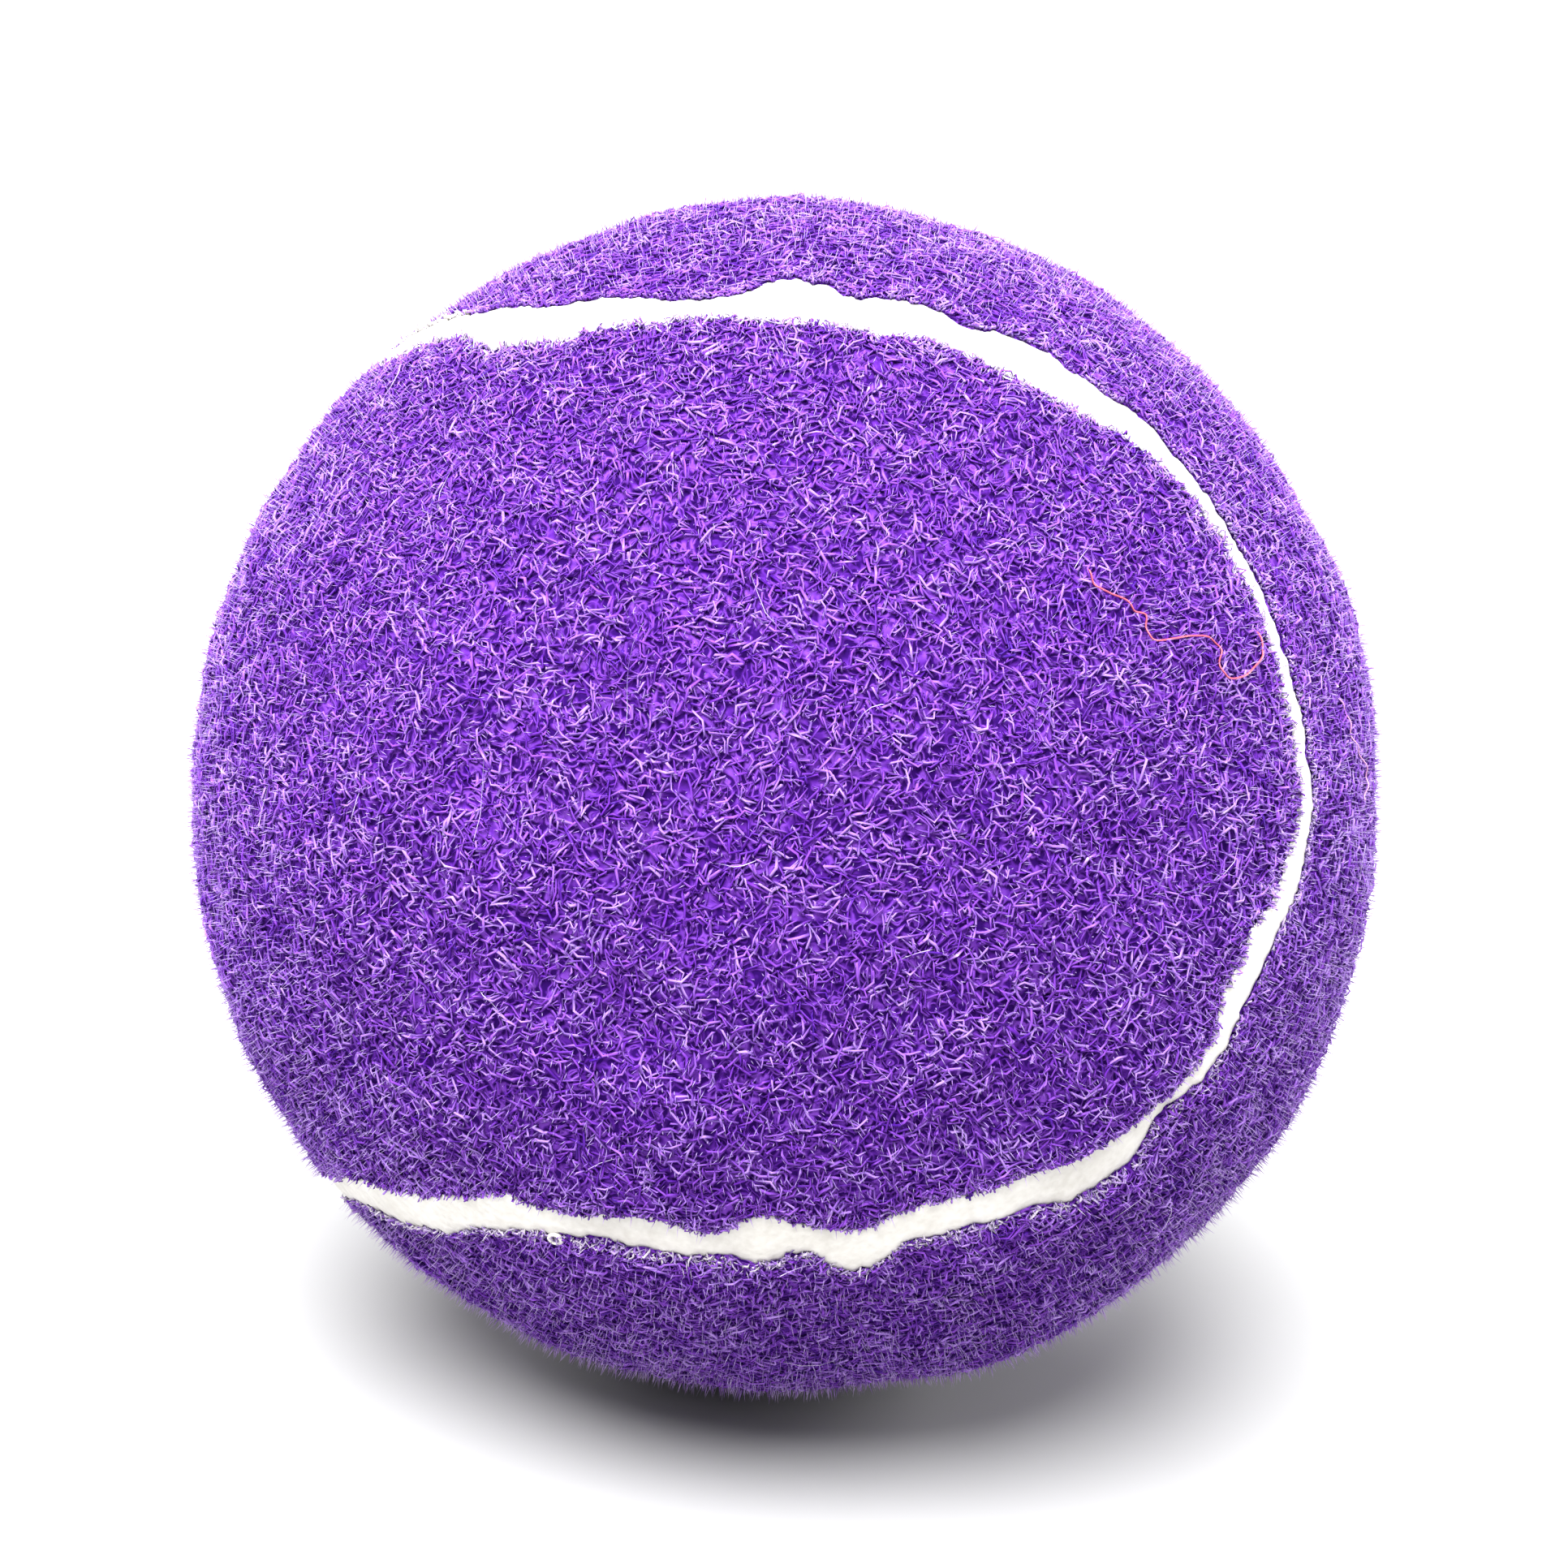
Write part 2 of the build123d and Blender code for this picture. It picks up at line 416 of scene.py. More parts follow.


# Matted skin under the nap: two tangles of curled strands, each the sine of a noise, so that a strand
# follows every few levels of it, sunk here and there into darker pits. Its colours are partly painted light:
# kept dark as painted shade for the depth under the fibres, darker still in gaps and pits as painted shade,
# and lighter on the strands' crests as a painted highlight
def skinMaterial():
    material, tree, shader = newMaterial("purpleFeltSkin")
    link = tree.links.new
    place = addNode(tree, "ShaderNodeTexCoord")
    tangle = addNode(tree, "ShaderNodeMath", operation="MAXIMUM")
    for index, (scale, closeness) in enumerate(skinFinish["tangles"]):
        noise = addNode(tree, "ShaderNodeTexNoise")
        noise.inputs["Scale"].default_value = scale
        noise.inputs["Detail"].default_value = skinFinish["tangleDetail"]
        levels = addNode(tree, "ShaderNodeMath", operation="MULTIPLY")
        levels.inputs[1].default_value = closeness
        wave = addNode(tree, "ShaderNodeMath", operation="SINE")
        ridge = addNode(tree, "ShaderNodeMapRange")
        ridge.inputs["From Min"].default_value = skinFinish["strandFrom"]
        link(place.outputs["Object"], noise.inputs["Vector"])
        link(noise.outputs["Fac"], levels.inputs[0])
        link(levels.outputs["Value"], wave.inputs[0])
        link(wave.outputs["Value"], ridge.inputs["Value"])
        link(ridge.outputs["Result"], tangle.inputs[index])
    pits = addNode(tree, "ShaderNodeTexNoise")
    pits.inputs["Scale"].default_value = skinFinish["pitScale"]
    level = addNode(tree, "ShaderNodeMapRange")
    level.inputs["From Min"].default_value = skinFinish["pitFrom"]
    level.inputs["From Max"].default_value = skinFinish["pitTo"]
    level.inputs["To Min"].default_value = 1 - skinFinish["pitDepth"]
    sunk = addNode(tree, "ShaderNodeMath", operation="MULTIPLY")
    ramp = addNode(tree, "ShaderNodeValToRGB")
    setRamp(ramp, skinFinish["shades"])
    link(place.outputs["Object"], pits.inputs["Vector"])
    link(pits.outputs["Fac"], level.inputs["Value"])
    link(tangle.outputs["Value"], sunk.inputs[0])
    link(level.outputs["Result"], sunk.inputs[1])
    link(sunk.outputs["Value"], ramp.inputs["Fac"])
    link(ramp.outputs["Color"], shader.inputs["Base Color"])
    shader.inputs["Roughness"].default_value = skinFinish["roughness"]
    shader.inputs["Specular IOR Level"].default_value = skinFinish["specular"]
    addBump(tree, shader, sunk.outputs["Value"], skinFinish["bumpDepth"], skinFinish["bumpStrength"])
    return material


napFinish = {
    "shades": (  # place on the ramp and colour
        (0.00, (0.042, 0.005, 0.205)),
        (0.20, (0.098, 0.014, 0.290)),
        (0.45, (0.205, 0.054, 0.450)),
        (0.65, (0.290, 0.128, 0.560)),
        (0.80, (0.395, 0.240, 0.640)),
        (0.84, (0.450, 0.230, 0.580)),
        (0.88, (0.490, 0.345, 0.690)),
        (1.00, (0.680, 0.580, 0.780)),
    ),
    "depth": (0.046, 0.006, 0.170),  # painted shade that a fibre darkens to towards its root, where the nap above would shade it
    "cement": (0.64, 0.62, 0.58),  # colour of cement that has soaked in
    "roughness": 0.40,
    "specular": 0.11,
}


# Fibres: a shade for each from a ramp, darkened towards the root as painted shade, and cream where cement
# has soaked in
def napMaterial():
    material, tree, shader = newMaterial("purpleNap")
    link = tree.links.new
    tint = addNode(tree, "ShaderNodeAttribute", attribute_name="tint")
    height = addNode(tree, "ShaderNodeAttribute", attribute_name="height")
    soaked = addNode(tree, "ShaderNodeAttribute", attribute_name="soaked")
    ramp = addNode(tree, "ShaderNodeValToRGB")
    setRamp(ramp, napFinish["shades"])
    # painted shade: each fibre is mixed towards a dark colour by its height, darkest at its root
    depth = addNode(tree, "ShaderNodeMix", data_type="RGBA")
    depth.inputs["A"].default_value = (*napFinish["depth"], 1)
    cement = addNode(tree, "ShaderNodeMix", data_type="RGBA")
    cement.inputs["B"].default_value = (*napFinish["cement"], 1)
    link(tint.outputs["Fac"], ramp.inputs["Fac"])
    link(height.outputs["Fac"], depth.inputs["Factor"])
    link(ramp.outputs["Color"], depth.inputs["B"])
    link(soaked.outputs["Fac"], cement.inputs["Factor"])
    link(depth.outputs["Result"], cement.inputs["A"])
    link(cement.outputs["Result"], shader.inputs["Base Color"])
    shader.inputs["Roughness"].default_value = napFinish["roughness"]
    shader.inputs["Specular IOR Level"].default_value = napFinish["specular"]
    return material


seamFinish = {
    "mottle": {
        "Broad Scale": 300.0, "Fine Scale": 2400.0, "Fine Share": 0.45,
        "Dark": (0.510, 0.490, 0.450, 1), "Light": (0.650, 0.635, 0.600, 1),
    },
    "roughness": 0.5,
    "bumpDepth": 0.06 * mm,
    "bumpStrength": 0.6,
}


# Seam: cream rubber cement, slightly uneven
def seamMaterial():
    material, tree, shader = newMaterial("creamSeam")
    pattern = addMottle(tree, seamFinish["mottle"])
    tree.links.new(pattern.outputs["Color"], shader.inputs["Base Color"])
    shader.inputs["Roughness"].default_value = seamFinish["roughness"]
    addBump(tree, shader, pattern.outputs["Grain"], seamFinish["bumpDepth"], seamFinish["bumpStrength"])
    return material


hiddenFinish = {
    "coreRubber": {
        "Broad Scale": 90.0, "Fine Scale": 900.0, "Fine Share": 0.5,
        "Dark": (0.035, 0.035, 0.038, 1), "Light": (0.075, 0.074, 0.078, 1),
    },
    "driedCement": {
        "Broad Scale": 140.0, "Fine Scale": 1500.0, "Fine Share": 0.5,
        "Dark": (0.50, 0.43, 0.30, 1), "Light": (0.70, 0.64, 0.50, 1),
    },
    "roughness": 0.7,
    "bumpDepth": 0.2 * mm,
    "bumpStrength": 0.4,
}


# Rubber and cement inside the ball
def hiddenMaterial(name):
    material, tree, shader = newMaterial(name)
    pattern = addMottle(tree, hiddenFinish[name])
    tree.links.new(pattern.outputs["Color"], shader.inputs["Base Color"])
    shader.inputs["Roughness"].default_value = hiddenFinish["roughness"]
    addBump(tree, shader, pattern.outputs["Grain"], hiddenFinish["bumpDepth"], hiddenFinish["bumpStrength"])
    return material


threadFinish = {
    "red": (0.480, 0.070, 0.110),
    "pink": (0.480, 0.220, 0.380),
    "roughness": 0.4,
}


# Stray threads: one plain colour each
def threadMaterial(name):
    material, _, shader = newMaterial(name + "Thread")
    shader.inputs["Base Color"].default_value = (*threadFinish[name], 1)
    shader.inputs["Roughness"].default_value = threadFinish["roughness"]
    return material


skinLook = skinMaterial()
napLook = napMaterial()
seamLook = seamMaterial()
coreLook = hiddenMaterial("coreRubber")
cementLook = hiddenMaterial("driedCement")
hiddenLooks = {
    "core_half_upper": coreLook, "core_half_lower": coreLook,
    "core_bond_ring": cementLook, "cement_film_a": cementLook, "cement_film_b": cementLook,
}
for node, look in hiddenLooks.items():
    frame["nodes"][node].data.materials.clear()
    frame["nodes"][node].data.materials.append(look)
print("materials made")


# Felt panel: every line runs from the middle of the panel's waist to a border of even width, square across
# that to the felt's edge, down the cut edge, and back along the felt's cemented back, so the panel is one
# closed skin
def feltPanel(side):
    pole = np.array([-sideSign[side], 0.0, 0.0])
    width = seamReach[side].max() + feltForm["edgeWidth"] - seamReach[side]
    border = np.linspace(1, 0, feltForm["edgeRows"])[:, None] ** feltForm["edgeCrowding"] * width
    lean = (sideSign[side] * (seamReach[side] + border) / ball["radius"])[..., None]
    borderWays = np.cos(lean) * seamSpot + np.sin(lean) * seamSide
    reach = np.arccos(borderWays[0] @ pole)
    outward = unit(borderWays[0] - np.cos(reach)[:, None] * pole)
    angle = (np.linspace(0, 1, feltForm["rows"])[1:-1, None] * reach)[..., None]
    faceWays = np.cos(angle) * pole + np.sin(angle) * outward
    backWays = np.concatenate([borderWays[[-1, 0]], faceWays[::-feltForm["backStep"]]])
    directions = np.concatenate([faceWays, borderWays, backWays])
    rows, columns = directions.shape[:2]
    inside = np.full((rows, columns), feltForm["edgeWidth"])
    inside[len(faceWays):-len(backWays)] = border
    radius = skinRadius(directions.reshape(-1, 3), inside.ravel()).reshape(rows, columns)
    radius[-len(backWays):] = ball["feltBack"]
    top = pole * skinRadius(pole[None], np.array([feltForm["edgeWidth"]]))
    bottom = pole * ball["feltBack"]
    points = np.concatenate([(directions * radius[..., None]).reshape(-1, 3), [top, bottom]])
    column = np.arange(columns)
    after = (column + 1) % columns
    last = (rows - 1) * columns
    fans = [
        np.stack([np.full(columns, rows * columns), column, after], axis=-1),
        np.stack([last + after, last + column, np.full(columns, rows * columns + 1)], axis=-1),
    ]
    faceSets = [*fans, gridQuads(rows, columns)[:, ::-1]]
    if side == "b":
        faceSets = [faces[:, ::-1] for faces in faceSets]
    return points, faceSets


for side in "ab":
    points, faceSets = feltPanel(side)
    makePiece("felt_skin_" + side, points, faceSets, skinLook)
    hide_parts("felt_panel_" + side)

# Seam strip: its foot on the core, its sides against both felt edges, a crowned and slightly lumpy top
seamForm = {
    "crown": 0.08 * mm,
    "lumpHeight": 0.016 * mm,
    "lumpLengths": (6.0 * mm, 1.8 * mm),
    "tiltLength": 4.0 * mm,
    "topRows": 15,
}


# A section carried along the seam: share -1 is the edge at panel b and 1 the edge at panel a, and the
# crown falls off with the fourth power of the share
def seamStrip():
    across = np.linspace(-1, 1, seamForm["topRows"])
    share = np.concatenate([across, [1, -1]])[:, None]
    onTop = np.concatenate([np.ones_like(across), [0, 0]])[:, None]
    uneven = sum(seamWaves(seamPlace, length, seamForm["lumpHeight"]) for length in seamForm["lumpLengths"])
    tilt = seamWaves(seamPlace, seamForm["tiltLength"], seamForm["lumpHeight"])
    level = ball["radius"] - ball["seamDepth"] + seamForm["crown"] * (1 - share**4) + uneven + share * tilt
    radius = np.where(onTop > 0, level, ball["seamFoot"])
    middle = (seamReach["a"] - seamReach["b"]) / 2
    half = (seamReach["a"] + seamReach["b"]) / 2
    lean = ((middle + share * half) / ball["radius"])[..., None]
    directions = np.cos(lean) * seamSpot + np.sin(lean) * seamSide
    return (directions * radius[..., None]).reshape(-1, 3), [gridQuads(*radius.shape, closed=True)]


points, faceSets = seamStrip()
seamPiece = makePiece("seam_cement", points, faceSets, seamLook)
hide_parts("seam_strip")

# A drop of cement that sits beside the seam, a small ring with a hollow middle
dropForm = {
    "place": -51.4 * mm,  # along the seam
    "away": -0.82 * mm,  # from its middle line, panel b's side
    "level": -0.12 * mm,  # from the ball's nominal surface
    "ringRadius": 0.34 * mm,
    "girthRadius": 0.12 * mm,
    "unevenShare": 0.18,
    "unevenTurns": 2,
    "unevenShift": 1.0,
    "columns": 28,
    "rows": 10,
}


# Ring: a circle carried round a circle, its girth swelling and shrinking twice on the way
def cementDrop():
    spot, travel, side = (found[0] for found in seamAt(np.array([dropForm["place"]])))
    lean = dropForm["away"] / ball["radius"]
    out = math.cos(lean) * spot + math.sin(lean) * side
    aside = math.cos(lean) * side - math.sin(lean) * spot
    around = (np.arange(dropForm["columns"]) * (2 * math.pi / dropForm["columns"]))[None, :, None]
    girth = (np.arange(dropForm["rows"]) * (2 * math.pi / dropForm["rows"]))[:, None, None]
    uneven = np.sin(dropForm["unevenTurns"] * around + dropForm["unevenShift"])
    thick = dropForm["girthRadius"] * (1 + dropForm["unevenShare"] * uneven)
    spoke = np.cos(around) * travel + np.sin(around) * aside
    points = (dropForm["ringRadius"] + thick * np.cos(girth)) * spoke + thick * np.sin(girth) * out
    points = points + out * (ball["radius"] + dropForm["level"])
    return points.reshape(-1, 3), [gridQuads(dropForm["rows"], dropForm["columns"], closed=True)]


points, faceSets = cementDrop()
makePiece("cement_drop", points, faceSets, seamLook)
print("seam made")

# Nap: fibres in layers, from the low mat to the haze and the few long hairs that stand clear of it. Bend
# is a fibre's own turn at each point and wander the spread about it, in radians, free the share of fibres
# that rise to a loose tip, shade their place on the ramp, a little lower for the lower layers as painted
# shade, and overhang how far they may lie over the seam
napLayers = {
    "curl": {
        "count": 10000, "points": 5, "length": 1.5 * mm, "radius": 0.076 * mm, "rise": 0.18 * mm,
        "bend": 0.85, "wander": 0.60, "free": 0.0, "shade": 0.47, "overhang": 0.20 * mm,
    },
    "crest": {
        "count": 10200, "points": 5, "length": 1.5 * mm, "radius": 0.068 * mm, "rise": 0.27 * mm,
        "bend": 0.85, "wander": 0.60, "free": 0.0, "shade": 0.50, "overhang": 0.25 * mm,
    },
    "over": {
        "count": 10200, "points": 5, "length": 1.5 * mm, "radius": 0.060 * mm, "rise": 0.36 * mm,
        "bend": 0.85, "wander": 0.60, "free": 0.05, "shade": 0.53, "overhang": 0.30 * mm,
    },
    "edge": {
        "count": 3000, "points": 5, "length": 0.9 * mm, "radius": 0.052 * mm, "rise": 0.26 * mm,
        "bend": 0.60, "wander": 0.50, "free": 0.3, "shade": 0.48, "overhang": 0.60 * mm,
    },
    # Haze fibres get a pale shade as painted light, standing in for thin fuzz glowing where it is lit from
    # behind
    "haze": {
        "count": 25000, "points": 3, "length": 0.3 * mm, "radius": 0.024 * mm, "rise": 0.85 * mm,
        "bend": 0.40, "wander": 0.40, "free": 1.0, "shade": 0.91, "overhang": 0.15 * mm,
    },
    "hair": {
        "count": 70, "points": 8, "length": 4.5 * mm, "radius": 0.018 * mm, "rise": 0.60 * mm,
        "bend": 0.14, "wander": 0.12, "free": 0.5, "shade": 1.0, "overhang": 0.50 * mm,
    },
}
napForm = {
    "spare": 2.15,  # spots tried all over the ball for each fibre
    "spotSpread": 0.9,  # how far spots are moved, over the square root of their number
    "crowding": 1.5,  # power of a random share, which makes small ones likelier
    "combAxis": (0.35, 0.55, 0.76),  # fibres lie round this way before they swirl
    "swirlWaves": 24,
    "swirlLength": 2.6 * mm,  # patches of fibres that lie much the same way
    "swirlTurn": 1.7,
    "headingSpread": 0.65,
    "lengthShares": (0.55, 1.45),  # of the layer's length, least and most
    "riseShares": (0.5, 1.3),  # of the layer's rise
    "girthShares": (0.7, 1.25),  # of the layer's radius
    "leastDraw": 0.25,  # share of its size that a fibre keeps when it is drawn in
    "weaves": (0.6, 1.2),  # times that a fibre rises and dives again, least and most
    "weaveLevel": 0.62,  # middle height of a waving fibre, and its swing, as shares of its rise
    "weaveSwing": 0.38,
    "endRise": 5,  # a waving fibre comes up over one part in so many at either end
    "freePower": 1.3,  # how a free fibre's rise gathers towards its tip
    "lift": 0.02 * mm,  # of every fibre above the skin
    "edgeBand": 1.0 * mm,  # width of the felt's edge that has fibres of its own
    "soakDepth": 0.6 * mm,  # cement reaches this far into the felt's edge
    "soakShare": 0.8,
    "smears": {"a": (), "b": ((67.5 * mm, 4.5 * mm, 0.9 * mm),)},  # place, half length, depth
    "smearShare": 0.9,
    "smearReach": (0.5, 1.0),  # of the smear's depth, least and most
    "tintSpread": 0.07,  # how much the shade differs between fibres, and along one
    "tintAlong": 0.09,
    "tintRise": 0.12,  # painted light and shade: how much brighter a fibre is at its full height than at its root
    "tintLevel": 0.6,  # height at which it has its layer's shade
    "patchShares": (0.13, 0.07),  # how much the shade differs between small and large patches
    "patchScales": (2.2, 0.7),  # how close such patches are, against the swirls
    "plainTint": 0.76,  # fibres other than pale ones stay below this
    "glintShare": 0.008,  # fibres with one bright glint
    "glintTint": 0.93,
    "floorGap": 0.10 * mm,  # fibres stay this far above the floor
    "cellMargin": 0.08,  # clear border of a fibre's cell on the flat map, and what is left of the cell
    "cellFill": 0.84,
}
swirlWays = unit(rng.normal(size=(2, napForm["swirlWaves"], 3))) * (2 * math.pi / napForm["swirlLength"])
swirlShifts = rng.uniform(0, 2 * math.pi, (2, napForm["swirlWaves"]))
combAxis = unit(np.array(napForm["combAxis"]))


# Slowly changing random angle over the ball: the sum of the cosines of waves through space
def swirl(points, which):
    waves = np.cos(points @ swirlWays[which].T + swirlShifts[which])
    return waves.sum(axis=1) / math.sqrt(napForm["swirlWaves"] / 2)


# Roots spread evenly over a panel: points at equal steps of height and of the golden angle, each moved
# a little. Along the edge they are random spots beside the seam. Those on the panel's felt are kept
def napRoots(side, count, onEdge):
    many = int(count * napForm["spare"])
    index = np.arange(many) + 0.5
    level = 1 - 2 * index / many
    angle = index * math.pi * (3 - math.sqrt(5)) + rng.uniform(0, 2 * math.pi)
    ring = np.sqrt(1 - level**2)
    directions = np.stack([ring * np.cos(angle), ring * np.sin(angle), level], axis=-1)
    directions = unit(directions + rng.normal(0, napForm["spotSpread"] / math.sqrt(many), (many, 3)))
    if onEdge:
        sample = rng.integers(0, seamLayout["samples"], many)
        share = rng.uniform(0, 1, many) ** napForm["crowding"]
        away = seamReach[side][sample] + napForm["edgeBand"] * share
        lean = (sideSign[side] * away / ball["radius"])[:, None]
        directions = np.cos(lean) * seamSpot[sample] + np.sin(lean) * seamSide[sample]
    inside, onA, nearest = edgeDistance(directions)
    keep = (inside > 0) & (onA == (side == "a"))
    return directions[keep], inside[keep], seamPlace[nearest[keep]]


# Fibre paths: even steps on the tangent plane, halves at the ends, whose heading turns steadily with some
# wander, wrapped on the ball, at a height that waves up and down along it or, for a free fibre, keeps
# rising to its tip. A fibre that would lie too far over the seam is drawn in about its root
def napPaths(roots, room, layer):
    count, steps = len(roots), layer["points"]
    spots = roots * ball["radius"]
    east = unit(np.cross(combAxis, roots))
    north = np.cross(roots, east)
    length = layer["length"] * rng.uniform(*napForm["lengthShares"], (count, 1))
    turn = rng.normal(0, layer["bend"], (count, 1)) + rng.normal(0, layer["wander"], (count, steps - 1))
    heading = napForm["swirlTurn"] * swirl(spots, 0) + rng.normal(0, napForm["headingSpread"], count)
    heading = heading[:, None] + np.cumsum(turn, axis=1)
    along = np.concatenate([[0], (np.arange(steps - 2) + 0.5) / (steps - 2), [1]])
    stride = length * np.diff(along) * np.stack([np.cos(heading), np.sin(heading)])
    walked = np.concatenate([np.zeros((2, count, 1)), np.cumsum(stride, axis=2)], axis=2)
    goEast, goNorth = walked - walked.mean(axis=2, keepdims=True)
    farthest = np.hypot(goEast, goNorth).max(axis=1)
    drawIn = np.clip(room / farthest, napForm["leastDraw"], 1)[:, None, None]
    strides = goEast[..., None] * east[:, None] + goNorth[..., None] * north[:, None]
    directions = unit(spots[:, None] + strides * drawIn)
    weave = rng.uniform(*napForm["weaves"], (count, 1)) * along + rng.uniform(0, 1, (count, 1))
    taper = np.minimum(1, napForm["endRise"] * np.minimum(along, 1 - along))
    waving = (napForm["weaveLevel"] + napForm["weaveSwing"] * np.sin(2 * math.pi * weave)) * taper
    free = rng.uniform(size=(count, 1)) < layer["free"]
    shape = np.where(free, along ** napForm["freePower"], waving)
    rise = layer["rise"] * rng.uniform(*napForm["riseShares"], (count, 1))
    flat = directions.reshape(-1, 3)
    inside = edgeDistance(flat)[0]
    overSeam = ball["radius"] - ball["seamDepth"] + seamForm["crown"]
    skin = skinRadius(flat, inside)
    skin = np.where(inside < 0, np.maximum(skin, overSeam), skin).reshape(count, steps)
    paths = directions * (skin + rise * shape + napForm["lift"])[..., None]
    paths[..., 2] = np.maximum(paths[..., 2], napForm["floorGap"] - ball["radius"])
    return paths, shape


# One value for each point of a tube from the values along its path
def overTube(values):
    middle = np.repeat(values[:, 1:-1], 3, axis=1)
    return np.concatenate([values[:, :1], middle, values[:, -1:]], axis=1).ravel()


# Fibres as three-sided tubes along their paths, closed to a point at both ends
def napTubes(paths, radius):
    count, steps = paths.shape[:2]
    along = unit(np.gradient(paths, axis=1))
    across = unit(np.cross(along, unit(paths)))
    lift = np.cross(across, along)
    angle = rng.uniform(0, 2 * math.pi, (count, 1, 1, 1)) - np.arange(3)[:, None] * (2 * math.pi / 3)
    thick = (radius * rng.uniform(*napForm["girthShares"], count)).reshape(count, 1, 1, 1)
    spoke = np.cos(angle) * across[:, 1:-1, None] + np.sin(angle) * lift[:, 1:-1, None]
    ring = (paths[:, 1:-1, None] + thick * spoke).reshape(count, -1, 3)
    points = np.concatenate([paths[:, :1], ring, paths[:, -1:]], axis=1)
    corner = np.arange(3)
    following = (corner + 1) % 3
    rings = steps - 2
    tail = 1 + 3 * rings
    start = np.stack([np.zeros(3, int), 1 + following, 1 + corner], axis=-1)
    end = np.stack([np.full(3, tail), tail - 3 + corner, tail - 3 + following], axis=-1)
    base = 1 + 3 * np.arange(rings - 1)[:, None]
    walls = np.stack([base + corner, base + following, base + 3 + following, base + 3 + corner], axis=-1)
    offset = (np.arange(count) * (tail + 1))[:, None, None]
    tips = (np.concatenate([start, end])[None] + offset).reshape(-1, 3)
    sides = (walls.reshape(1, -1, 4) + offset).reshape(-1, 4)
    return points.reshape(-1, 3), [tips, sides]


# Flat map for the fibres: a square cell each, the fibre's length across it and its girth up it
def napMap(piece, count, steps):
    share = np.linspace(0, 1, steps)
    third = np.arange(3) / 3
    first, second, beforeLast, last = (np.full(3, share[k]) for k in (0, 1, -2, -1))
    tipStart = np.stack([first, third + 1 / 6, second, third + 1 / 3, second, third], axis=-1)
    tipEnd = np.stack([last, third + 1 / 6, beforeLast, third, beforeLast, third + 1 / 3], axis=-1)
    tips = np.concatenate([tipStart, tipEnd]).reshape(-1, 2)
    low, high = np.repeat(share[1:-2], 3), np.repeat(share[2:-1], 3)
    girth = np.tile(third, steps - 3)
    walls = np.stack([low, girth, low, girth + 1 / 3, high, girth + 1 / 3, high, girth], axis=-1)
    cells = math.ceil(math.sqrt(count))
    index = np.arange(count)
    cell = np.stack([index % cells, index // cells], axis=-1)[:, None] + napForm["cellMargin"]
    tipSpots = (cell + napForm["cellFill"] * tips[None]).reshape(-1, 2)
    wallSpots = (cell + napForm["cellFill"] * walls.reshape(1, -1, 2)).reshape(-1, 2)
    spots = np.concatenate([tipSpots, wallSpots]) / cells
    layer = piece.data.uv_layers.new(name="OFBake")
    layer.data.foreach_set("uv", spots.astype(np.float32).ravel())


# Shade of each fibre along its length: its layer's, plus waves for small and large patches, plus a chance
# part, plus painted light where it stands high and painted shade where it lies low, and one bright glint on
# a few
def napTint(roots, height, layer):
    count, steps = height.shape
    spots = roots * ball["radius"]
    small, large = napForm["patchShares"]
    smallScale, largeScale = napForm["patchScales"]
    patches = small * swirl(smallScale * spots, 0) + large * swirl(largeScale * spots, 1)
    tint = rng.normal(layer["shade"] + patches, napForm["tintSpread"])[:, None]
    # painted light and shade: brighter where the fibre stands high, darker where it lies low
    tint = tint + napForm["tintRise"] * (height - napForm["tintLevel"])
    tint = tint + rng.normal(0, napForm["tintAlong"], (count, steps))
    bright = np.arange(steps) == rng.integers(1, steps - 1, count)[:, None]
    glint = bright & (rng.uniform(size=(count, 1)) < napForm["glintShare"])
    plain = np.clip(tint, 0, max(layer["shade"], napForm["plainTint"]))
    return np.where(glint, napForm["glintTint"], plain)


# Share of cement in each fibre: a random part beside the seam, and most of it where cement was smeared
# over the felt, to a depth that falls off as exp of minus the fourth power
def napSoaked(side, rootInside, place):
    count = len(place)
    depth = napForm["soakDepth"] * rng.uniform(0, 1, count)
    share = napForm["soakShare"] * rng.uniform(0, 1, count) * raggedness(place, side)
    soaked = np.where(rootInside < depth, share, 0)
    for middle, half, reach in napForm["smears"][side]:
        smear = reach * np.exp(-((alongSeam(place - middle) / half) ** 4))
        smear = smear * rng.uniform(*napForm["smearReach"], count)
        soaked = np.where(rootInside < smear, napForm["smearShare"], soaked)
    return soaked


# A value for each point, stored on the mesh for the material
def storeValue(piece, name, values):
    made = piece.data.attributes.new(name, "FLOAT", "POINT")
    made.data.foreach_set("value", np.ascontiguousarray(values, np.float32))


napPieces = {"a": [], "b": []}
for side in "ab":
    for name, layer in napLayers.items():
        roots, rootInside, place = napRoots(side, layer["count"], name == "edge")
        over = layer["overhang"] * raggedness(place, side)
        over = over * rng.uniform(0, 1, len(roots)) ** napForm["crowding"]
        paths, height = napPaths(roots, rootInside + over, layer)
        points, faceSets = napTubes(paths, layer["radius"])
        piece = makePiece(f"nap_{name}_{side}", points, faceSets, napLook)
        napMap(piece, len(roots), layer["points"])
        storeValue(piece, "tint", overTube(napTint(roots, height, layer)))
        storeValue(piece, "height", overTube(height))
        soaked = napSoaked(side, rootInside, place)
        storeValue(piece, "soaked", overTube(np.broadcast_to(soaked[:, None], height.shape)))
        napPieces[side].append(piece)

